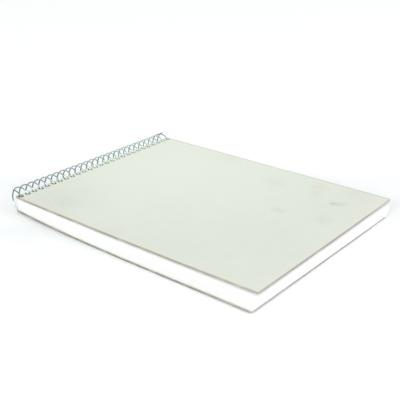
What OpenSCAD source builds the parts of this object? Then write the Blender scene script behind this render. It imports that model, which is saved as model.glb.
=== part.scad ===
// Spiral-bound bond paper pad: two chipboard covers, punched sheets and one wire coil
// X runs along the spine, +Y points to the spine, +Z is up
// The origin is the middle of the footprint on the table

/* [Covers] */
// Cover width along the spine
cover_w = 215.9; // [180:0.1:260]
// Cover length from spine to fore-edge
cover_l = 279.4; // [200:0.1:360]
// Chipboard thickness
cover_t = 1.3; // [0.8:0.1:2]

/* [Paper] */
// Thickness of one sheet
sheet_t = 0.15; // [0.1:0.01:0.2]
// Air between neighbouring sheets at the hole row
sheet_gap = 0.005; // [0.003:0.001:0.02]
// How far the side and fore edges of a sheet stay inside those of the cover
sheet_lap = 1.2; // [0:0.1:2]
// Rise of the front cover towards the fore-edge
fore_rise = 0.35; // [0:0.05:3]

/* [Holes] */
// Punched hole diameter
hole_d = 5.6; // [5.4:0.1:6]
// Hole centre to the spine edge of the leaf
hole_inset = 4.6; // [4:0.1:6]
// How far the covers are punched askew, in degrees, one each way
punch_skew = 0.34; // [0:0.02:0.5]

/* [Coil] */
// Wire diameter
wire_d = 1.1; // [0.7:0.05:1.2]
// Coil centreline diameter beyond the closed thickness of the pad
coil_room = 5.1; // [4.8:0.1:7]
// Distance from turn to turn, also the hole spacing
coil_pitch = 8; // [7.8:0.01:8.1]
// Height of the back cover's underside above the wire that passes below it
back_clear = 0.4; // [0.1:0.05:0.6]
// How far the back cover's hole row lies nearer to the spine than the wire that crosses it
back_seat = 0.6; // [0:0.05:0.8]
// How far the middle sheets are knocked back towards the spine within their holes
stack_seat = 1.6; // [0:0.05:1.6]

/* [Hidden] */
NODES = ["front_cover", "back_cover", "binding_coil",
         "sheets_001_005", "sheets_006_010", "sheets_011_015", "sheets_016_020",
         "sheets_021_025", "sheets_026_030", "sheets_031_035", "sheets_036_040",
         "sheets_041_045", "sheets_046_050", "sheets_051_055", "sheets_056_060",
         "sheets_061_065", "sheets_066_070", "sheets_071_075", "sheets_076_080",
         "sheets_081_085", "sheets_086_090", "sheets_091_095", "sheets_096_100"];

// Sheets are numbered from the top, five to each node that follows the covers and the coil
first_group = 3;
group_count = len(NODES) - first_group;
group_size = 5;
sheet_count = group_count * group_size;
sheet_step = sheet_t + sheet_gap;
paper_t = sheet_count * sheet_step + sheet_gap;
closed_t = paper_t + 2 * cover_t;

// Coil circle, lying on the table
coil_r = (closed_t + coil_room) / 2;
coil_z = coil_r + wire_d / 2;

// Mid-plane heights of the covers at the hole row
back_z = wire_d + back_clear + cover_t / 2;
front_z = back_z + cover_t + paper_t;
reach = cover_l - hole_inset;
back_tilt = asin((back_z - cover_t / 2) / reach);
front_tilt = -asin(fore_rise / reach);

// Each leaf hangs on the wire: angle of the crossing, then where its hole row lies
function wire_angle(z) = asin((z - coil_z) / coil_r);
function leaf_seat(s) = back_seat * (1 - s) + stack_seat * 4 * s * (1 - s);
function leaf_back(z) = coil_r * cos(wire_angle(z)) - leaf_seat(stack_part(z));
function leaf_y(z) = coil_y - leaf_back(z);
function leaf_skew(z) = punch_skew * (2 * stack_part(z) - 1);

// Wire sits off the hole centre at rest, so that leaf and coil can turn within the slack of the hole
front_slack = 0.05 * coil_pitch;
back_slack = -0.1 * coil_pitch;
function stack_part(z) = (z - back_z) / (front_z - back_z);
function slack(z) = back_slack + (front_slack - back_slack) * stack_part(z);
function wire_shift(z) = -coil_pitch * wire_angle(z) / 360 - slack(z);
middle_shift = (wire_shift(front_z) + wire_shift(back_z)) / 2;
function leaf_x(z) = wire_shift(z) - middle_shift;

// Sheet number n counts from the top
function sheet_rank(n) = sheet_count - n;
function sheet_z(n) = back_z + cover_t / 2 + sheet_gap + sheet_t / 2 + sheet_rank(n) * sheet_step;
function sheet_tilt(n) = back_tilt + (front_tilt - back_tilt) * (sheet_rank(n) + 1) / (sheet_count + 1);

// The coil's axis lies where the footprint is even on both sides of the origin
sheet_w = cover_w - 2 * sheet_lap;
sheet_l = cover_l - sheet_lap;
function fore_reach(z, w, l) = leaf_back(z) + (l - hole_inset) * cos(leaf_skew(z))
    + w / 2 * abs(sin(leaf_skew(z)));
longest_reach = max(concat([fore_reach(front_z, cover_w, cover_l)],
    [for (n = [1:sheet_count]) fore_reach(sheet_z(n), sheet_w, sheet_l)]));
coil_y = (longest_reach - coil_r - wire_d / 2) / 2;

// As many holes as the spine takes at the coil's pitch, the last pitch a little short if need be
pitch_allow = 0.02;
hole_facets = 48;
hole_count = floor(cover_w / coil_pitch + pitch_allow);
function hole_x(k) = (k - (hole_count - 1) / 2) * coil_pitch;

// Coil rings: whole steps of the turn, from high behind the last hole to above the first front-cover hole
ring_steps = 24;
ring_sides = 6;
ring_turn = 360 / ring_steps;
start_angle = -240;
end_angle = 360 * (hole_count - 1) + 90;
ring_count = (end_angle - start_angle) / ring_turn + 1;
function coil_x(a) = hole_x(hole_count - 1) - middle_shift - coil_pitch * a / 360;
function coil_point(a) = [coil_x(a), coil_y - coil_r * cos(a), coil_z + coil_r * sin(a)];
function unit(v) = v / norm(v);
rise_per_degree = coil_pitch / 360;
arc_per_degree = coil_r * PI / 180;
function coil_tangent(a) = unit([-rise_per_degree, arc_per_degree * sin(a), arc_per_degree * cos(a)]);
function coil_outward(a) = [0, -cos(a), sin(a)];
function ring(c, a) = [for (s = [0:ring_sides - 1])
    c + wire_d / 2 * (cos(360 * s / ring_sides) * coil_outward(a)
        + sin(360 * s / ring_sides) * cross(coil_tangent(a), coil_outward(a)))];
function ring_angle(i) = start_angle + i * ring_turn;

// Both ends run straight for one wire diameter
centres = concat(
    [coil_point(start_angle) - wire_d * coil_tangent(start_angle)],
    [for (i = [0:ring_count - 1]) coil_point(ring_angle(i))],
    [coil_point(end_angle) + wire_d * coil_tangent(end_angle)]);
angles = concat([start_angle], [for (i = [0:ring_count - 1]) ring_angle(i)], [end_angle]);

// Least gap of the coil to itself, over points at least half a turn apart
no_neighbour = 1000;
self_gap = min([for (i = [0:len(centres) - 1])
    min(concat([no_neighbour], [for (j = [i + ring_steps / 2:min(i + 2 * ring_steps, len(centres) - 1)])
        norm(centres[i] - centres[j]) - wire_d]))]);
echo(self_gap = self_gap);
echo(coil_r = coil_r, coil_y = coil_y, coil_z = coil_z, holes = hole_count, rings = len(centres));
echo(front_z = front_z, back_z = back_z, back_tilt = back_tilt, front_tilt = front_tilt);
echo(front_x = leaf_x(front_z), front_y = leaf_y(front_z), back_x = leaf_x(back_z), back_y = leaf_y(back_z));

// One flat leaf with its row of holes, its hole row on the wire at height z
module leaf(z, tilt, w, l, t) {
    translate([leaf_x(z), leaf_y(z), z])
        rotate([tilt, 0, 0])
            difference() {
                rotate([0, 0, leaf_skew(z)])
                    translate([-w / 2, hole_inset - l, -t / 2])
                        cube([w, l, t]);
                for (k = [0:hole_count - 1])
                    translate([hole_x(k), 0, -t])
                        cylinder(d = hole_d, h = 2 * t, $fn = hole_facets);
            }
}

module front_cover() {
    color([0.78, 0.83, 0.75])
        leaf(front_z, front_tilt, cover_w, cover_l, cover_t);
}

module back_cover() {
    color([0.74, 0.79, 0.71])
        leaf(back_z, back_tilt, cover_w, cover_l, cover_t);
}

// Group g, counted from the top, holds the next group_size sheets, each a solid of its own
module sheet_group(g) {
    color([0.97, 0.97, 0.96])
        for (n = [group_size * g + 1:group_size * g + group_size])
            leaf(sheet_z(n), sheet_tilt(n), sheet_w, sheet_l, sheet_t);
}

// One unbroken wire wound through every hole
module binding_coil() {
    rings = len(centres);
    points = [for (i = [0:rings - 1]) each ring(centres[i], angles[i])];
    function corner(i, s) = i * ring_sides + s % ring_sides;
    sides = [for (i = [0:rings - 2]) for (s = [0:ring_sides - 1]) each
        [[corner(i, s), corner(i + 1, s), corner(i + 1, s + 1)],
         [corner(i, s), corner(i + 1, s + 1), corner(i, s + 1)]]];
    near_cap = [for (s = [1:ring_sides - 2]) [corner(0, 0), corner(0, s), corner(0, s + 1)]];
    far_cap = [for (s = [1:ring_sides - 2])
        [corner(rings - 1, 0), corner(rings - 1, s + 1), corner(rings - 1, s)]];
    color([0.7, 0.72, 0.74])
        polyhedron(points, concat(near_cap, sides, far_cap), convexity = 10);
}

front_cover();
back_cover();
binding_coil();
for (g = [0:group_count - 1])
    sheet_group(g);
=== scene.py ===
"""Spiral-bound bond paper pad: boards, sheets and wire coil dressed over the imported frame."""

import math
import random

import bpy
from mathutils import Matrix, Vector


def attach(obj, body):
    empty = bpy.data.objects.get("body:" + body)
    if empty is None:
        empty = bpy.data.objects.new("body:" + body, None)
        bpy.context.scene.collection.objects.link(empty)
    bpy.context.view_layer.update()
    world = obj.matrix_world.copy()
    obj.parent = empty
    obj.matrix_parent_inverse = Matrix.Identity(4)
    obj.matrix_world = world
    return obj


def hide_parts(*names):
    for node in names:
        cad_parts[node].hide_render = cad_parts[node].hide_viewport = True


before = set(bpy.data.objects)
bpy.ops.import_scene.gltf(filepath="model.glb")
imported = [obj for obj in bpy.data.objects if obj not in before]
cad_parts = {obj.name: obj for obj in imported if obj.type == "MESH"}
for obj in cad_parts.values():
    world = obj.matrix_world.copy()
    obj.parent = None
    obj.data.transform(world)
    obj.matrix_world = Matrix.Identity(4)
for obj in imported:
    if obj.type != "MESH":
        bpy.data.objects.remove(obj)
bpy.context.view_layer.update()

# Sizes of the pad in millimetres and degrees, as in the part's source
MM = 0.001
COVER_W, COVER_L, COVER_T = 215.9, 279.4, 1.3
GROUP_SIZE = 5
SHEET_T, SHEET_GAP, SHEET_LAP = 0.15, 0.005, 1.2
FORE_RISE = 0.35
HOLE_D, HOLE_INSET, PUNCH_SKEW = 5.6, 4.6, 0.34
WIRE_D, COIL_ROOM, COIL_PITCH = 1.1, 5.1, 8.0
BACK_CLEAR, BACK_SEAT, STACK_SEAT = 0.4, 0.6, 1.6
FRONT_SLACK, BACK_SLACK = 0.05 * COIL_PITCH, -0.1 * COIL_PITCH
PITCH_ALLOW = 0.02
COIL_START, COIL_END = -240, 90

# What follows from them and from the frame
FULL_TURN = 2 * math.pi
SHEET_NODES = sorted(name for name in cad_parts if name.startswith("sheets_"))
SHEET_COUNT = GROUP_SIZE * len(SHEET_NODES)
SHEET_STEP = SHEET_T + SHEET_GAP
PAPER_T = SHEET_COUNT * SHEET_STEP + SHEET_GAP
COIL_R = (PAPER_T + 2 * COVER_T + COIL_ROOM) / 2
COIL_Z = COIL_R + WIRE_D / 2
BACK_Z = WIRE_D + BACK_CLEAR + COVER_T / 2
FRONT_Z = BACK_Z + COVER_T + PAPER_T
REACH = COVER_L - HOLE_INSET
BACK_TILT = math.asin((BACK_Z - COVER_T / 2) / REACH)
FRONT_TILT = -math.asin(FORE_RISE / REACH)
SHEET_W, SHEET_L = COVER_W - 2 * SHEET_LAP, COVER_L - SHEET_LAP
HOLE_COUNT = int(COVER_W / COIL_PITCH + PITCH_ALLOW)
HOLES = [(k - (HOLE_COUNT - 1) / 2) * COIL_PITCH for k in range(HOLE_COUNT)]


def clamp(value):
    """The value, kept between 0 and 1."""
    return min(max(value, 0.0), 1.0)


def spread(start, end, parts):
    """Places that divide a stretch into equal parts, with both of its ends."""
    return [start + (end - start) * i / parts for i in range(parts + 1)]


# Where a leaf hangs on the wire, by the height z of its hole row
def wire_angle(z):
    """Angle on the coil's circle at which the wire crosses a leaf."""
    return math.asin((z - COIL_Z) / COIL_R)


def stack_part(z):
    """0 at the back cover, 1 at the front cover."""
    return (z - BACK_Z) / (FRONT_Z - BACK_Z)


def leaf_skew(z):
    """Turn of a leaf in its plane against its hole row."""
    return math.radians(PUNCH_SKEW) * (2 * stack_part(z) - 1)


def leaf_back(z):
    """Distance of the hole row from the coil's axis."""
    s = stack_part(z)
    seat = BACK_SEAT * (1 - s) + STACK_SEAT * 4 * s * (1 - s)
    return COIL_R * math.cos(wire_angle(z)) - seat


def wire_shift(z):
    """Shift of the hole row along the spine."""
    slack = BACK_SLACK + (FRONT_SLACK - BACK_SLACK) * stack_part(z)
    return -COIL_PITCH * wire_angle(z) / FULL_TURN - slack


MIDDLE_SHIFT = (wire_shift(FRONT_Z) + wire_shift(BACK_Z)) / 2


# Sheets are numbered from the top
def sheet_rank(n):
    """How many sheets lie under a sheet."""
    return SHEET_COUNT - n


def sheet_z(n):
    """Height of a sheet's hole row."""
    return BACK_Z + COVER_T / 2 + SHEET_GAP + SHEET_T / 2 + sheet_rank(n) * SHEET_STEP


def sheet_tilt(n):
    """Slope of a sheet towards the fore-edge."""
    return BACK_TILT + (FRONT_TILT - BACK_TILT) * (sheet_rank(n) + 1) / (SHEET_COUNT + 1)


def fore_reach(z, width, length):
    """How far a leaf reaches from the coil's axis to its fore-edge."""
    skew = leaf_skew(z)
    return leaf_back(z) + (length - HOLE_INSET) * math.cos(skew) + width / 2 * abs(math.sin(skew))


REACHES = [fore_reach(sheet_z(n), SHEET_W, SHEET_L) for n in range(1, SHEET_COUNT + 1)]
COIL_Y = (max(REACHES + [fore_reach(FRONT_Z, COVER_W, COVER_L)]) - COIL_R - WIRE_D / 2) / 2

# How the lying pad has settled: near corner lifted, near side dished, lower leaves bellied out there
CORNER_LIFT = 1.0
SIDE_DISH = 0.7
SIDE_BELLY = 2.2
BOW_SCALE = 27 / 4


def leaf_parts(p, q):
    """Nearness to the near long side and to the fore-edge, at p along the spine and q from the holes."""
    return 0.5 - p / COVER_W, clamp(-q / REACH)


def settle(p, q):
    """Height that the settled leaf gains."""
    near, s = leaf_parts(p, q)
    return CORNER_LIFT * near * near * s * s - SIDE_DISH * near * 4 * s * (1 - s)


def side_bow(p, q):
    """1 at a third of the near long side, 0 at its ends and on the far side."""
    near, s = leaf_parts(p, q)
    return near * near * BOW_SCALE * s * (1 - s) ** 2


def place_leaf(points, z, tilt):
    """Points of a leaf in its punched frame, moved to where the leaf hangs on the wire, in metres."""
    x0 = wire_shift(z) - MIDDLE_SHIFT
    y0 = COIL_Y - leaf_back(z)
    cos_s, sin_s = math.cos(leaf_skew(z)), math.sin(leaf_skew(z))
    cos_t, sin_t = math.cos(tilt), math.sin(tilt)
    belly = SIDE_BELLY * (1 - stack_part(z))
    placed = []
    for p, q, h in points:
        w = h + settle(p, q)
        p -= belly * side_bow(p, q)
        u, v = p * cos_s - q * sin_s, p * sin_s + q * cos_s
        y = y0 + v * cos_t - w * sin_t
        height = z + v * sin_t + w * cos_t
        placed.append(((x0 + u) * MM, y * MM, height * MM))
    return placed


# Punched leaves: a cell with a hole for each turn of the coil, then a plain grid to the fore-edge
CELL_FLOOR = -9.0
CRUSHED_FROM = -3.5
END_WEB = 0.3
ON_EDGE = 0.01
POINT_DIGITS = 4
# Rows beside a hole, columns to each hole, and rows from the holes to the fore-edge
COVER_GRID, SHEET_GRID = (6, 4, 34), (4, 2, 7)


def meets(place, edge):
    """Whether a place on a leaf lies on an edge of it."""
    return abs(place - edge) < ON_EDGE


def cell_border(left, right, side_rows, across):
    """Border points of one hole's cell, anticlockwise from its lower left corner."""
    rows = spread(CELL_FLOOR, HOLE_INSET, side_rows)
    cols = spread(left, right, across)
    border = [(c, CELL_FLOOR) for c in cols[:-1]]
    border += [(right, r) for r in rows[:-1]]
    border += [(c, HOLE_INSET) for c in reversed(cols[1:])]
    border += [(left, r) for r in reversed(rows[1:])]
    return border


class LeafPlan:
    """A punched leaf seen from above: its points, its faces, and which points lie on hole rims."""

    def __init__(self, width, length, skew, side_rows, across, grid_rows, hole_d=HOLE_D, rim_row=0.0):
        self.points, self.faces, self.rims = [], [], set()
        self.index = {}
        half = width / 2
        edges = [-half] + [h + COIL_PITCH / 2 for h in HOLES[:-1]] + [half]
        cols = []
        for hole, left, right in zip(HOLES, edges, edges[1:]):
            centre = (hole * math.cos(skew), -hole * math.sin(skew))
            border = cell_border(left, right, side_rows, across)
            self.add_cell(centre, hole_d / 2, border, half - END_WEB)
            cols += spread(left, right, across)[:-1]
        cols.append(half)
        fore = HOLE_INSET - length
        rows = spread(CELL_FLOOR, fore, grid_rows)
        if rim_row:
            rows.insert(-1, fore + rim_row)
        self.add_grid(cols, rows)

    def point(self, p, q):
        """Number of the point at a place, new or known."""
        key = (round(p, POINT_DIGITS), round(q, POINT_DIGITS))
        if key not in self.index:
            self.index[key] = len(self.points)
            self.points.append((p, q))
        return self.index[key]

    def add_cell(self, centre, radius, border, inner):
        """Faces between a hole and its cell's border, with a thin web left at the ends of the row."""
        count = len(border)
        start = math.atan2(border[0][1] - centre[1], border[0][0] - centre[0])
        ring = []
        for j in range(count):
            a = start + FULL_TURN * j / count
            p = centre[0] + radius * math.cos(a)
            q = centre[1] + radius * math.sin(a)
            ring.append(self.point(min(max(p, -inner), inner), q))
        self.rims.update(ring)
        outer = [self.point(*place) for place in border]
        for j in range(count):
            n = (j + 1) % count
            self.faces.append((outer[j], outer[n], ring[n], ring[j]))

    def add_grid(self, cols, rows):
        """Plain faces between the columns and the rows."""
        for a, b in zip(rows, rows[1:]):
            for c, d in zip(cols, cols[1:]):
                corners = (c, b), (d, b), (d, a), (c, a)
                self.faces.append(tuple(self.point(*corner) for corner in corners))

    def border(self):
        """Edges that only one face uses, in the direction of that face."""
        used = dict.fromkeys(edge for f in self.faces for edge in zip(f, f[1:] + f[:1]))
        return [(a, b) for a, b in used if (b, a) not in used]


def plate(plan, thickness, z, tilt, cut, crush=0.0):
    """Vertices, faces and the number of broad faces of a leaf with both sides and its cut edges."""
    count = len(plan.points)
    flat = [cut(p, q) for p, q in plan.points]
    raw = [(p, q, thickness / 2) for p, q in flat]
    raw += [(p, q, (crush if q > CRUSHED_FROM else 0.0) - thickness / 2) for p, q in flat]
    broad = plan.faces + [tuple(i + count for i in reversed(f)) for f in plan.faces]
    walls = [(b, a, a + count, b + count) for a, b in plan.border()]
    return place_leaf(raw, z, tilt), broad + walls, len(broad)


def make_piece(name, verts, faces, materials, face_slots=None, smooth=False):
    """A mesh object from plain lists, linked to the scene."""
    mesh = bpy.data.meshes.new(name)
    mesh.from_pydata(verts, [], faces)
    for material in materials:
        mesh.materials.append(material)
    if face_slots is not None:
        mesh.polygons.foreach_set("material_index", face_slots)
    if smooth:
        mesh.polygons.foreach_set("use_smooth", [True] * len(faces))
    mesh.update()
    piece = bpy.data.objects.new(name, mesh)
    bpy.context.scene.collection.objects.link(piece)
    return piece


def point_values(piece, name, values, kind="FLOAT", field="value"):
    """A value for every point of a piece, which its material reads by name."""
    layer = piece.data.attributes.new(name, kind, "POINT")
    layer.data.foreach_set(field, values)


# Small helpers for nodes, and the range in which most noise lies
NOISE_RANGE = (0.2, 0.8)


class NodeTree:
    """Short calls that add nodes to a tree and hand back their outputs."""

    def __init__(self, tree, coords):
        self.tree = tree
        self.coords = self.add("ShaderNodeTexCoord").outputs[coords]

    def add(self, kind):
        """A new node."""
        return self.tree.nodes.new(kind)

    def feed(self, socket, value):
        """A number, a colour or the output of another node, given to a socket."""
        if isinstance(value, (int, float)):
            socket.default_value = value
        elif isinstance(value, tuple):
            socket.default_value = (*value, 1.0)
        else:
            self.tree.links.new(value, socket)

    def scaled(self, factors):
        """The object's coordinates, stretched."""
        node = self.add("ShaderNodeMapping")
        node.inputs["Scale"].default_value = factors
        self.feed(node.inputs["Vector"], self.coords)
        return node.outputs["Vector"]

    def noise(self, scale, detail=3.0, roughness=0.5, vector=None, distortion=0.0):
        """Noise over the object's coordinates or another vector."""
        node = self.add("ShaderNodeTexNoise")
        self.feed(node.inputs["Scale"], scale)
        self.feed(node.inputs["Detail"], detail)
        self.feed(node.inputs["Roughness"], roughness)
        self.feed(node.inputs["Distortion"], distortion)
        self.feed(node.inputs["Vector"], vector or self.coords)
        return node.outputs["Fac"]

    def between(self, value, low, high, to_low=0.0, to_high=1.0, smooth=True):
        """A value's range, mapped to another range and clamped there."""
        node = self.add("ShaderNodeMapRange")
        node.interpolation_type = "SMOOTHSTEP" if smooth else "LINEAR"
        self.feed(node.inputs["Value"], value)
        self.feed(node.inputs["From Min"], low)
        self.feed(node.inputs["From Max"], high)
        self.feed(node.inputs["To Min"], to_low)
        self.feed(node.inputs["To Max"], to_high)
        return node.outputs["Result"]

    def calc(self, operation, a, b):
        """Result of a sum with two numbers or outputs."""
        node = self.add("ShaderNodeMath")
        node.operation = operation
        self.feed(node.inputs[0], a)
        self.feed(node.inputs[1], b)
        return node.outputs["Value"]

    def times(self, a, b):
        return self.calc("MULTIPLY", a, b)

    def plus(self, a, b):
        return self.calc("ADD", a, b)

    def most(self, a, b):
        return self.calc("MAXIMUM", a, b)

    def mix(self, factor, a, b):
        """Colour a where the factor is 0, colour b where it is 1."""
        node = self.add("ShaderNodeMix")
        node.data_type = "RGBA"
        sockets = {socket.identifier: socket for socket in node.inputs}
        self.feed(sockets["Factor_Float"], factor)
        self.feed(sockets["A_Color"], a)
        self.feed(sockets["B_Color"], b)
        return next(socket for socket in node.outputs if socket.identifier == "Result_Color")

    def tint(self, colour, other, mask, amount):
        """A colour, mixed with an amount of another one where a mask is 1."""
        return self.mix(self.times(mask, amount), colour, other)

    def axis(self, name):
        """One of the object's coordinates."""
        node = self.add("ShaderNodeSeparateXYZ")
        self.feed(node.inputs["Vector"], self.coords)
        return node.outputs[name]

    def ramp(self, distance, start, end, at_start=0.0, at_end=1.0):
        """A smooth change from one value to another between two distances in millimetres."""
        return self.between(distance, start * MM, end * MM, at_start, at_end)

    def vector_math(self, operation, vector):
        """A number worked out from the coordinates and a fixed vector."""
        node = self.add("ShaderNodeVectorMath")
        node.operation = operation
        node.inputs[1].default_value = vector
        self.feed(node.inputs[0], self.coords)
        return node.outputs["Value"]

    def near(self, spot, reach):
        """1 at a spot of the object, falling to 0 at its reach, both in millimetres."""
        distance = self.vector_math("DISTANCE", Vector(spot) * MM)
        return self.ramp(distance, 0.0, reach, 1.0, 0.0)

    def along(self, direction):
        """Distance from the origin in a direction."""
        return self.vector_math("DOT_PRODUCT", direction)

    def attribute(self, name, output="Fac"):
        """What the points of a piece hold under a name."""
        node = self.add("ShaderNodeAttribute")
        node.attribute_name = name
        return node.outputs[output]


class Shader(NodeTree):
    """A principled material and calls for its own sockets."""

    def __init__(self, name):
        self.material = bpy.data.materials.new(name)
        self.material.use_nodes = True
        super().__init__(self.material.node_tree, "Object")
        self.bsdf = self.tree.nodes["Principled BSDF"]

    def put(self, socket, value):
        """A value for one of the shader's own sockets."""
        self.feed(self.bsdf.inputs[socket], value)

    def uneven_roughness(self, noise, low, high):
        """Roughness that varies evenly with a noise."""
        self.put("Roughness", self.between(noise, *NOISE_RANGE, low, high, smooth=False))

    def bump(self, relief, height, strength):
        """A fine relief with its height in millimetres."""
        node = self.add("ShaderNodeBump")
        self.feed(node.inputs["Strength"], strength)
        self.feed(node.inputs["Distance"], height * MM)
        self.feed(node.inputs["Height"], relief)
        self.put("Normal", node.outputs["Normal"])


def srgb(*levels):
    """Linear colour of an 8-bit screen colour."""
    parts = [level / 255 for level in levels]
    return tuple(c / 12.92 if c <= 0.04045 else ((c + 0.055) / 1.055) ** 2.4 for c in parts)


# Chipboard colours
BOARD_PALE = srgb(238, 245, 232)
BOARD_MID = srgb(230, 237, 224)
BOARD_DEEP = srgb(225, 231, 220)
BOARD_CREAM = srgb(232, 231, 216)
BOARD_FLECK = srgb(196, 198, 184)
BOARD_SMUDGE = srgb(176, 170, 158)
BOARD_PINK = srgb(224, 214, 206)
BOARD_BLUSH = srgb(238, 232, 224)
BOARD_TORN = srgb(186, 172, 146)
BOARD_WORN, BOARD_WORN_FORE = srgb(186, 182, 164), srgb(178, 177, 172)
# The back cover's edge greys are painted shade, darker than the front's for its place low by the floor;
# the fore-cut greys are painted light and shade for each cover
FRONT_CORE, FRONT_CORE_DARK = srgb(176, 174, 161), srgb(140, 138, 128)
BACK_CORE, BACK_CORE_DARK = srgb(158, 157, 149), srgb(120, 119, 113)
FRONT_FORE_CUT, BACK_FORE_CUT = srgb(158, 152, 151), srgb(182, 176, 174)

# Places on the covers in millimetres; each band runs from where it is full to where it ends
COVER_TOP, PAD_MIDDLE = 19.5, 11.0
# Painted light: the cover is painted brighter around this spot, fading out at its reach
BRIGHT_SPOT, BRIGHT_REACH = (60.0, 80.0, COVER_TOP), 210.0
TORN_CORNER, TORN_REACH = (-110.5, 131.3, COVER_TOP), 11.0
NEAR_BAND = (-109.0, -98.0)
FORE_BAND = (-148.0, -138.0)
FORE_RIM_BAND = (-146.5, -144.0)
FORE_CUT_BAND = (-143.0, -139.0)
# Stretch along the spine over which the walls of the holes are painted paler, as painted light in their
# shade, in millimetres
PALER_HOLES = (-100.0, 0.0)

# Marks on the front cover, handling stains and one broad painted shade near the spine end: place and
# reach in millimetres, strength, colour
MARKS = (
    ((65.6, -109.7), 5.0, 0.44, BOARD_SMUDGE),
    ((64.9, -112.2), 7.0, 0.18, BOARD_SMUDGE),
    ((68.0, -116.4), 9.0, 0.20, BOARD_SMUDGE),
    ((29.6, -120.8), 16.0, 0.10, BOARD_SMUDGE),
    ((21.8, -78.6), 11.0, 0.16, BOARD_SMUDGE),
    ((74.4, -39.9), 20.0, 0.10, BOARD_SMUDGE),
    ((-88.4, 84.4), 19.0, 0.13, BOARD_SMUDGE),
    ((-100.0, 7.6), 15.0, 0.08, BOARD_SMUDGE),
    # Painted shade: a broad darkening of the cover near the spine end, not a stain
    ((-90.0, 105.0), 80.0, 0.12, BOARD_SMUDGE),
    ((90.2, -80.6), 14.0, 0.42, BOARD_PINK),
    ((75.0, -86.2), 9.0, 0.40, BOARD_PINK),
    ((98.2, -115.1), 18.0, 0.30, BOARD_PINK),
    ((87.4, -143.2), 18.0, 0.60, BOARD_BLUSH),
    ((59.9, -143.2), 18.0, 0.50, BOARD_BLUSH),
    ((101.4, 36.5), 24.0, 0.20, BOARD_PINK),
)
# Pale corners of the cut edges: place and reach in millimetres, strength
PALE_CORNERS = (
    ((-111.0, -147.0, PAD_MIDDLE), 80.0, 0.2),
    ((106.0, -147.0, COVER_TOP), 60.0, 0.45),
)


def board_face():
    """Pale grey-green chipboard liner with clouding, flecks, long fibres and handling marks, painted
    lighter around a broad spot as a pool of light and darker near the spine end as shade.
    """
    s = Shader("chipboard_face")
    # Painted pool of light
    bright = s.near(BRIGHT_SPOT, BRIGHT_REACH)
    cloud = s.between(s.noise(14.0, roughness=0.55), 0.3, 0.7)
    tone = s.plus(s.times(bright, 0.75), s.times(cloud, 0.3))
    colour = s.mix(tone, BOARD_DEEP, BOARD_MID)
    colour = s.tint(colour, BOARD_PALE, bright, amount=0.6)
    mottle = s.between(s.noise(95.0, detail=4.0, roughness=0.6), 0.3, 0.7)
    colour = s.tint(colour, BOARD_PALE, mottle, amount=0.12)
    near_side = s.ramp(s.axis("X"), *NEAR_BAND, 1.0, 0.0)
    cream = s.times(near_side, s.between(s.noise(38.0), 0.3, 0.65))
    colour = s.tint(colour, BOARD_CREAM, cream, amount=0.7)
    fleck = s.between(s.noise(1500.0, detail=2.0), 0.66, 0.74)
    colour = s.tint(colour, BOARD_FLECK, fleck, amount=0.3)
    fibres = s.noise(240.0, roughness=0.6, vector=s.scaled((1.0, 9.0, 1.0)), distortion=0.6)
    fibre = s.between(fibres, 0.66, 0.78)
    colour = s.tint(colour, BOARD_FLECK, fibre, amount=0.14)
    ragged = s.between(s.noise(260.0, detail=4.0, roughness=0.6), 0.2, 0.6)
    for place, reach, strength, stain in MARKS:
        mark = s.times(s.near((*place, COVER_TOP), reach), ragged)
        colour = s.tint(colour, stain, mark, strength)
    fore_side = s.ramp(s.axis("Y"), *FORE_BAND, 1.0, 0.0)
    colour = s.tint(colour, BOARD_BLUSH, s.times(fore_side, ragged), amount=0.35)
    fore = s.ramp(s.axis("Y"), *FORE_RIM_BAND, 1.0, 0.0)
    patchy = s.between(s.noise(70.0, detail=4.0), 0.2, 0.6, 0.4, 1.0)
    rim = s.times(s.between(s.attribute("rim"), 0.1, 0.8), patchy)
    colour = s.tint(colour, s.mix(fore, BOARD_WORN, BOARD_WORN_FORE), rim, amount=0.85)
    torn = s.between(s.plus(s.near(TORN_CORNER, TORN_REACH), s.times(ragged, 0.25)), 0.55, 0.75)
    colour = s.tint(colour, BOARD_TORN, torn, amount=0.85)
    s.put("Base Color", colour)
    s.uneven_roughness(s.noise(180.0), 0.72, 0.9)
    s.put("Specular IOR Level", 0.3)
    grain = s.noise(900.0, detail=4.0, roughness=0.65)
    s.bump(s.plus(grain, s.times(fibre, 0.35)), height=0.05, strength=0.5)
    return s.material


def board_edge(name, core, core_dark, fore_cut):
    """Cut edge of the chipboard: grey plies, torn fibres, a grey at the fore-edge painted lighter or
    darker for the light there, pale corners.
    """
    s = Shader(name)
    ply = s.noise(700.0, roughness=0.6, vector=s.scaled((0.12, 0.12, 3.2)), distortion=0.4)
    colour = s.mix(s.between(ply, 0.3, 0.7), core_dark, core)
    worn = s.between(s.noise(55.0, detail=4.0, roughness=0.6), 0.45, 0.75)
    colour = s.tint(colour, BOARD_CREAM, worn, amount=0.45)
    fore = s.ramp(s.axis("Y"), *FORE_CUT_BAND, 1.0, 0.0)
    # Painted light or shade at the fore-edge
    colour = s.tint(colour, fore_cut, fore, amount=0.6)
    for spot, reach, strength in PALE_CORNERS:
        colour = s.tint(colour, BOARD_BLUSH, s.near(spot, reach), strength)
    # Painted light: hole walls towards the far end are painted pale to lift the shade inside the holes
    far_holes = s.times(s.attribute("punched"), s.ramp(s.axis("X"), *PALER_HOLES))
    s.put("Base Color", s.mix(far_holes, colour, BOARD_MID))
    s.put("Roughness", 0.92)
    s.put("Specular IOR Level", 0.2)
    s.bump(s.plus(ply, s.noise(1600.0, detail=2.0)), height=0.12, strength=0.7)
    return s.material


# Paper colours, and how many of the uppermost sheets get painted shade on their cut edges, where the
# cover overhangs them
PAPER_BRIGHT, PAPER_SHADE = (0.975, 0.975, 0.97), (0.935, 0.94, 0.935)
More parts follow.
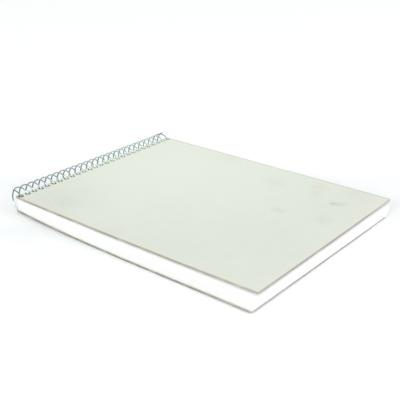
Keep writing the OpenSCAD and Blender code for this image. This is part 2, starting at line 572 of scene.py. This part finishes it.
# The grey edge colour is painted shade, the shadow under the cover's overhang on the sheets' cut edges
PAPER_PAINTED_SHADE, PAPER_EDGE_UNSHADED = srgb(170, 170, 166), srgb(238, 238, 235)
SHADED_SHEETS = 16


def paper_surface(s, smoothest, roughest, specular):
    """Sheen and faint fibre structure of paper."""
    s.uneven_roughness(s.noise(320.0, detail=2.0), smoothest, roughest)
    s.put("Specular IOR Level", specular)
    s.bump(s.noise(1100.0, detail=4.0, roughness=0.6), height=0.03, strength=0.35)


def bond_paper():
    """Smooth white bond with a slightly different tone for each sheet."""
    s = Shader("bond_paper_white")
    colour = s.tint(PAPER_BRIGHT, PAPER_SHADE, s.attribute("tone"), amount=0.55)
    cloud = s.between(s.noise(70.0, detail=4.0, roughness=0.6), 0.35, 0.75)
    s.put("Base Color", s.tint(colour, PAPER_SHADE, cloud, amount=0.18))
    paper_surface(s, 0.78, 0.9, specular=0.25)
    return s.material


def shaded_paper_edge():
    """Cut edges of the uppermost sheets, with painted shade that is darker the nearer they lie to the
    cover that overhangs them.
    """
    s = Shader("bond_paper_shaded_edge")
    patchy = s.between(s.noise(60.0, detail=4.0, roughness=0.6), 0.35, 0.7, 1.0, 0.45)
    # Painted shade, patchy, mixed into the cut edge's colour
    s.put("Base Color", s.mix(s.times(s.attribute("edge_shade"), patchy), PAPER_EDGE_UNSHADED, PAPER_PAINTED_SHADE))
    paper_surface(s, 0.82, 0.94, specular=0.2)
    return s.material


# Steel colours, among them a painted highlight and a painted shade, and the stretch along the spine over
# which the wire turns paler, in millimetres
# The brightest colour here is a painted highlight, and the dullest a painted shade
STEEL_HIGHLIGHT = srgb(210, 229, 225)
STEEL_PALE = srgb(160, 178, 178)
STEEL_DARK = srgb(126, 144, 145)
STEEL_SHADE = srgb(108, 126, 127)
STEEL_FAR = srgb(171, 192, 187)
PALER_WIRE = (-100.0, 100.0)


def steel_wire():
    """Drawn steel wire: fine lines along it, paler to the far end, with painted highlights on its front
    legs and tops and painted shade on its back legs and ends.
    """
    s = Shader("drawn_steel_wire")
    lines = s.noise(9.0, roughness=0.6, vector=s.attribute("drawn", "Vector"))
    stain = s.between(s.noise(130.0, roughness=0.55), 0.3, 0.7)
    colour = s.mix(stain, STEEL_DARK, STEEL_PALE)
    colour = s.tint(colour, STEEL_DARK, s.between(lines, 0.35, 0.65), amount=0.3)
    colour = s.tint(colour, STEEL_FAR, s.ramp(s.axis("X"), *PALER_WIRE), amount=0.85)
    # Painted shade on the back legs of the near half and on both ends of the wire
    colour = s.tint(colour, STEEL_SHADE, s.attribute("painted_shade"), amount=0.5)
    # Painted highlight on the front legs and the tops of the turns
    s.put("Base Color", s.mix(s.attribute("painted_highlight"), colour, STEEL_HIGHLIGHT))
    s.put("Metallic", 1.0)
    s.put("Roughness", s.between(lines, 0.3, 0.7, 0.2, 0.36, smooth=False))
    s.bump(lines, height=0.01, strength=0.4)
    return s.material


FACE, PAPER, SHADED_EDGES, STEEL = board_face(), bond_paper(), shaded_paper_edge(), steel_wire()
# The back cover's edge is a shaded copy of the front's: its darker greys are painted shade
FRONT_EDGE = board_edge("chipboard_edge_front", FRONT_CORE, FRONT_CORE_DARK, FRONT_FORE_CUT)
BACK_EDGE = board_edge("chipboard_edge_back", BACK_CORE, BACK_CORE_DARK, BACK_FORE_CUT)

# Cut edges: sizes in millimetres, wave numbers per millimetre, random draws always the same
SEED = 7
rng = random.Random(SEED)
RAGGED = 0.06
SIDE_WAVES, END_WAVES = (0.21, 0.047), (0.23, 0.051)
PHASE_RANGE = 6.28
CORNER_CRUSH = 0.35
RIM_ROW = 1.5
SIDE_RIM, FORE_RIM = 1.0, 0.85
RIM_SOFTNESS, RIM_STEPS, RIM_ANGLE = 0.16, 2, 50
KNOCK = 0.22


def rim_part(p, q):
    """How worn a cover's rim is: most along the sides, less along the fore-edge, not along the spine."""
    if meets(abs(p), COVER_W / 2):
        return SIDE_RIM
    return FORE_RIM if meets(q, HOLE_INSET - COVER_L) else 0.0


def cut_in(place, waves, phases):
    """How far a ragged cut lies inside the edge that it follows."""
    short, long = (math.sin(place * wave + phase) for wave, phase in zip(waves, phases))
    return RAGGED + RAGGED * short * long


def ragged_cut(phases):
    """The ragged edges and slightly crushed corners of one cover, as a function of the place on it."""
    def cut(p, q):
        on_side = meets(abs(p), COVER_W / 2)
        on_end = meets(q, HOLE_INSET) or meets(q, HOLE_INSET - COVER_L)
        if on_side:
            p -= math.copysign(cut_in(q, SIDE_WAVES, phases[:2]), p)
        if on_end:
            q -= math.copysign(cut_in(p, END_WAVES, phases[2:]), q)
        if on_side and on_end:
            p -= math.copysign(CORNER_CRUSH, p)
            q -= math.copysign(CORNER_CRUSH, q)
        return p, q
    return cut


def knocked_up(side, fore):
    """The edges of one sheet, cut short by a little, as a function of the place on it."""
    def cut(p, q):
        if meets(abs(p), SHEET_W / 2):
            p -= math.copysign(side, p)
        if meets(q, HOLE_INSET - SHEET_L):
            q += fore
        return p, q
    return cut


def cover_piece(name, z, tilt, body, node, hole_d, crush, edge, wear):
    """A chipboard cover with punched holes, ragged edges and softened rims."""
    plan = LeafPlan(COVER_W, COVER_L, leaf_skew(z), *COVER_GRID, hole_d, RIM_ROW)
    phases = [rng.uniform(0, PHASE_RANGE) for _ in range(4)]
    verts, faces, broad = plate(plan, COVER_T, z, tilt, ragged_cut(phases), crush)
    slots = [0] * broad + [1] * (len(faces) - broad)
    piece = make_piece(name, verts, faces, [FACE, edge], slots)
    point_values(piece, "rim", [wear * rim_part(p, q) for p, q in plan.points] * 2)
    point_values(piece, "punched", [float(i in plan.rims) for i in range(len(plan.points))] * 2)
    bevel = piece.modifiers.new("softened_rim", "BEVEL")
    bevel.width = RIM_SOFTNESS * MM
    bevel.segments = RIM_STEPS
    bevel.limit_method = "ANGLE"
    bevel.angle_limit = math.radians(RIM_ANGLE)
    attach(piece, body)
    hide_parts(node)


def sheet_group(name, first):
    """The sheets of one node as one piece, each cut and knocked up a little differently."""
    verts, faces, tones, edge_shade, slots = [], [], [], [], []
    for n in range(first, first + GROUP_SIZE):
        z = sheet_z(n)
        plan = LeafPlan(SHEET_W, SHEET_L, leaf_skew(z), *SHEET_GRID)
        side, fore = rng.uniform(0.0, KNOCK), rng.uniform(0.0, KNOCK)
        sheet_verts, sheet_faces, broad = plate(plan, SHEET_T, z, sheet_tilt(n), knocked_up(side, fore))
        base, count = len(verts), len(sheet_verts)
        verts += sheet_verts
        faces += [tuple(i + base for i in f) for f in sheet_faces]
        tones += [rng.random()] * count
        # Painted shade on the cut edges of the uppermost sheets, darkest just under the cover
        edge_shade += [clamp(1 - (n - 1) / SHADED_SHEETS)] * count
        slots += [0] * broad + [int(n <= SHADED_SHEETS)] * (len(sheet_faces) - broad)
    materials = [PAPER, SHADED_EDGES] if first <= SHADED_SHEETS else [PAPER]
    piece = make_piece("bond_" + name, verts, faces, materials, slots)
    point_values(piece, "tone", tones)
    point_values(piece, "edge_shade", edge_shade)
    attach(piece, name)
    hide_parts(name)


# One smooth round wire through every hole, a little fuller than its stated size, burred at its ends
RINGS_PER_TURN = 60
WIRE_SIDES = 14
WIRE_R = 0.62
WINDING_R = COIL_R - (WIRE_R - WIRE_D / 2)
BURR, TIP_R = 0.12, 0.72 * WIRE_R
DRAWN_SCALE = 0.02
# Angles of a turn where a zone of painted highlight or painted shade on the wire starts, is full, fades
# and ends
# Zones of painted highlight: front legs near and far, tops of the turns, low parts at the near end
NEAR_HIGHLIGHT, FAR_HIGHLIGHT = (5.0, 25.0, 48.0, 75.0), (0.0, 18.0, 40.0, 50.0)
TOP_HIGHLIGHT = (75.0, 90.0, 130.0, 150.0)
LOW_HIGHLIGHT = (185.0, 210.0, 250.0, 270.0)
# Zone of painted shade on the back legs
SHADED_LEG = (95.0, 120.0, 200.0, 230.0)
# Lengths of the coil's end zones, in turns, and of its near tip, in degrees
FAR_END, NEAR_END = 1.6, 3.0
TIP_FADE = 40.0


def near_part(a):
    """1 at the near end of the coil, 0 at its far end."""
    return clamp(a / (FULL_TURN * HOLE_COUNT))


def far_end(a):
    """1 on the last turns of the far end, 0 from there on."""
    return clamp(FAR_END - a / FULL_TURN)


def near_end(a):
    """1 on the last turns of the near end, 0 before them."""
    return clamp(a / FULL_TURN - HOLE_COUNT + NEAR_END)


def near_tip(a):
    """1 on the last bit of the near end, 0 before it."""
    beyond = math.degrees(a) - 360 * (HOLE_COUNT - 1)
    return clamp(beyond / TIP_FADE)


def zone(a, limits):
    """1 inside the limits of a zone of the turn, 0 outside."""
    start, full, fade, end = limits
    turn = math.degrees(a) % 360
    return clamp((turn - start) / (full - start)) * clamp((end - turn) / (end - fade))


def highlight_amount(a):
    """How much painted highlight the wire gets at an angle of its winding."""
    near = near_part(a)
    leg = zone(a, [near * n + (1 - near) * f for n, f in zip(NEAR_HIGHLIGHT, FAR_HIGHLIGHT)])
    top = zone(a, TOP_HIGHLIGHT) * (1 - near) * (1 - far_end(a))
    low = zone(a, LOW_HIGHLIGHT) * near_end(a)
    return max(leg * (1 - near_tip(a)), top, low)


def shade_amount(a):
    """How much painted shade the wire gets at an angle of its winding."""
    return max(zone(a, SHADED_LEG) * near_part(a) ** 2, far_end(a), near_tip(a))


def coil_point(a):
    """Centre of the wire at an angle of its winding, in millimetres."""
    x = HOLES[-1] - MIDDLE_SHIFT - COIL_PITCH * a / FULL_TURN
    return Vector((x, COIL_Y - WINDING_R * math.cos(a), COIL_Z + WINDING_R * math.sin(a)))


def coil_tangent(a):
    """Direction of the wire at an angle of its winding."""
    step = Vector((-COIL_PITCH / FULL_TURN, WINDING_R * math.sin(a), WINDING_R * math.cos(a)))
    return step.normalized()


def wire_rings():
    """Centre, winding angle and radius of every ring of the wire, from its far tip to its near one."""
    first = math.radians(COIL_START)
    last = math.radians(360 * (HOLE_COUNT - 1) + COIL_END)
    count = int((last - first) / FULL_TURN * RINGS_PER_TURN)
    rings = [(coil_point(a), a, WIRE_R) for a in spread(first, last, count)]
    for a, sign in ((first, -1), (last, 1)):
        for beyond, r in ((WIRE_D - BURR, WIRE_R), (WIRE_D, TIP_R)):
            centre = coil_point(a) + sign * coil_tangent(a) * beyond
            rings.insert(0 if sign < 0 else len(rings), (centre, a, r))
    return rings


def wire_piece():
    """The wire as one closed tube, with what its material reads at every point."""
    rings = wire_rings()
    verts, drawn, painted_highlight, painted_shade = [], [], [], []
    length = 0.0
    before = rings[0][0]
    for centre, a, r in rings:
        length += (centre - before).length
        before = centre
        out = Vector((0.0, -math.cos(a), math.sin(a)))
        side = coil_tangent(a).cross(out)
        for k in range(WIRE_SIDES):
            turn = FULL_TURN * k / WIRE_SIDES
            verts.append((centre + r * (math.cos(turn) * out + math.sin(turn) * side)) * MM)
            drawn.extend((length * DRAWN_SCALE, math.cos(turn), math.sin(turn)))
        # Painted highlight and painted shade, ring by ring
        painted_highlight += [highlight_amount(a)] * WIRE_SIDES
        painted_shade += [shade_amount(a)] * WIRE_SIDES
    faces = []
    last = (len(rings) - 1) * WIRE_SIDES
    for i in range(0, last, WIRE_SIDES):
        for k in range(WIRE_SIDES):
            n = (k + 1) % WIRE_SIDES
            faces.append((i + k, i + n, i + WIRE_SIDES + n, i + WIRE_SIDES + k))
    faces.append(tuple(reversed(range(WIRE_SIDES))))
    faces.append(tuple(range(last, last + WIRE_SIDES)))
    piece = make_piece("steel_coil", verts, faces, [STEEL], smooth=True)
    point_values(piece, "drawn", drawn, "FLOAT_VECTOR", "vector")
    point_values(piece, "painted_highlight", painted_highlight)
    point_values(piece, "painted_shade", painted_shade)
    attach(piece, "coil")
    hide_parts("binding_coil")


# The pieces: holes a little tighter in front, wider and crushed behind, where the rims are less worn
FRONT_HOLE_D, BACK_HOLE_D = HOLE_D - 0.2, HOLE_D + 0.3
BACK_CRUSH = 0.22
FRONT_WEAR, BACK_WEAR = 1.0, 0.7
cover_piece("front_board", FRONT_Z, FRONT_TILT, "front_cover", "front_cover",
            hole_d=FRONT_HOLE_D, crush=0.0, edge=FRONT_EDGE, wear=FRONT_WEAR)
cover_piece("back_board", BACK_Z, BACK_TILT, "pad_back", "back_cover",
            hole_d=BACK_HOLE_D, crush=BACK_CRUSH, edge=BACK_EDGE, wear=BACK_WEAR)
for group, sheet_node in enumerate(SHEET_NODES):
    sheet_group(sheet_node, group * GROUP_SIZE + 1)
wire_piece()

# Floor and room: the way to the front, distances in millimetres, and how much light is added
WHITE = (1.0, 1.0, 1.0)
MIDDLE = (0.0, 0.0, 0.0)
FRONT_WAY = Vector((-0.77, -0.64, 0.0))
FLOOR_COLOUR = (0.92, 0.945, 0.945)
FLOOR_REACH = 9000.0
FLOOR_LIFT, FAR_LIFT = 0.075, 0.16
LIFT_REACH = 750.0
FRONT_BAND, BEHIND_BAND = (20.0, 80.0), (-140.0, -70.0)
RIM_LIFT, RIM_REACH = 0.6, 5000.0
# Painted light beside the spine, and a painted shadow beside the near side of the pad
SPINE_SPOT, SPINE_REACH, SPINE_LIFT = (-105.0, 150.0, 0.0), 70.0, 0.06
NEAR_SPOT, NEAR_REACH, NEAR_DROP = (-130.0, 45.0, 0.0), 150.0, -0.06
ROOM_BACK, ROOM_FRONT = 0.63, 0.93


def seen_rays(nodes):
    """1 for what is seen, in mirrors and through glass too, 0 for light on its way to a surface."""
    path = nodes.add("ShaderNodeLightPath")
    seen = nodes.most(path.outputs["Is Camera Ray"], path.outputs["Is Glossy Ray"])
    return nodes.most(seen, path.outputs["Is Transmission Ray"])


def floor_material():
    """Pale finish that shows white to the camera and keeps the shadow, with painted light that washes it
    out in front of, behind and beside the spine of the pad, and a painted shadow beside the near side.
    """
    s = Shader("pale_floor")
    s.put("Base Color", FLOOR_COLOUR)
    s.put("Roughness", 0.9)
    s.put("Specular IOR Level", 0.1)
    s.put("Emission Color", WHITE)
    way = s.along(FRONT_WAY)
    far = s.between(s.near(MIDDLE, LIFT_REACH), 0.0, 1.0, FAR_LIFT, FLOOR_LIFT)
    # Painted light in front of and behind the pad, where it washes out the shadow
    front = s.ramp(way, *FRONT_BAND, FLOOR_LIFT, FAR_LIFT)
    behind = s.ramp(way, *BEHIND_BAND, FAR_LIFT, FLOOR_LIFT)
    outer = s.between(s.near(MIDDLE, RIM_REACH), 0.1, 0.75, RIM_LIFT, 0.0)
    lift = s.most(s.most(s.most(far, front), behind), outer)
    # Painted light that thins the shadow by the spine, and a painted shadow by the near side
    spine = s.between(s.near(SPINE_SPOT, SPINE_REACH), 0.0, 1.0, 0.0, SPINE_LIFT)
    near = s.between(s.near(NEAR_SPOT, NEAR_REACH), 0.0, 1.0, 0.0, NEAR_DROP)
    lift = s.plus(s.plus(lift, spine), near)
    s.put("Emission Strength", s.times(seen_rays(s), lift))
    return s.material


def pale_floor():
    """A wide square floor under the pad."""
    edge = FLOOR_REACH * MM
    corners = [(-edge, -edge, 0), (edge, -edge, 0), (edge, edge, 0), (-edge, edge, 0)]
    floor = make_piece("floor", corners, [(0, 1, 2, 3)], [floor_material()])


def white_room():
    """White room, brighter in front of the pad than behind it."""
    world = bpy.data.worlds.new("white_room")
    bpy.context.scene.world = world
    world.use_nodes = True
    room = NodeTree(world.node_tree, "Generated")
    level = room.between(room.along(FRONT_WAY), -1.0, 1.0, ROOM_BACK, ROOM_FRONT, smooth=False)
    backdrop = world.node_tree.nodes["Background"]
    room.feed(backdrop.inputs["Color"], WHITE)
    room.feed(backdrop.inputs["Strength"], room.most(seen_rays(room), level))


pale_floor()
white_room()

# Two soft lamps, one on each side of the camera, in millimetres and watts
LAMPS = (("right_lamp", (600.0, -3560.0, 1690.0)), ("left_lamp", (-3560.0, -600.0, 1690.0)))
LAMP_SIZE, LAMP_POWER = 1100.0, 36.5


def soft_lamp(name, place):
    """A round lamp that faces the middle of the pad."""
    lamp = bpy.data.lights.new(name, "AREA")
    lamp.shape = "DISK"
    lamp.size = LAMP_SIZE * MM
    lamp.energy = LAMP_POWER
    holder = bpy.data.objects.new(name, lamp)
    holder.location = Vector(place) * MM
    holder.rotation_euler = (-Vector(place)).to_track_quat("-Z", "Y").to_euler()
    bpy.context.scene.collection.objects.link(holder)


for lamp_name, lamp_place in LAMPS:
    soft_lamp(lamp_name, lamp_place)

# Camera fitted to the edge lines of both covers, lens and sensor in millimetres
CAMERA_AT = Vector((-484.33, -404.36, 299.09)) * MM
AZIMUTH, ELEVATION, ROLL = math.radians(-50.503), math.radians(24.251), math.radians(-0.131)
LENS, SENSOR = 65.60, 36.0
CLIP_START = 10.0


def fitted_camera():
    """The camera, turned to its azimuth and elevation and then rolled."""
    flat = math.cos(ELEVATION)
    back = Vector((math.sin(AZIMUTH) * flat, -math.cos(AZIMUTH) * flat, math.sin(ELEVATION)))
    level_right = (-back).cross(Vector((0, 0, 1))).normalized()
    level_up = level_right.cross(-back)
    right = math.cos(ROLL) * level_right + math.sin(ROLL) * level_up
    up = math.cos(ROLL) * level_up - math.sin(ROLL) * level_right
    data = bpy.data.cameras.new("camera")
    data.sensor_width = SENSOR
    data.lens = LENS
    data.clip_start = CLIP_START * MM
    camera = bpy.data.objects.new("camera", data)
    turned = Matrix((right, up, back)).transposed().to_4x4()
    camera.matrix_world = Matrix.Translation(CAMERA_AT) @ turned
    bpy.context.scene.collection.objects.link(camera)
    return camera


bpy.context.scene.camera = fitted_camera()
bpy.context.scene.view_settings.view_transform = "Standard"
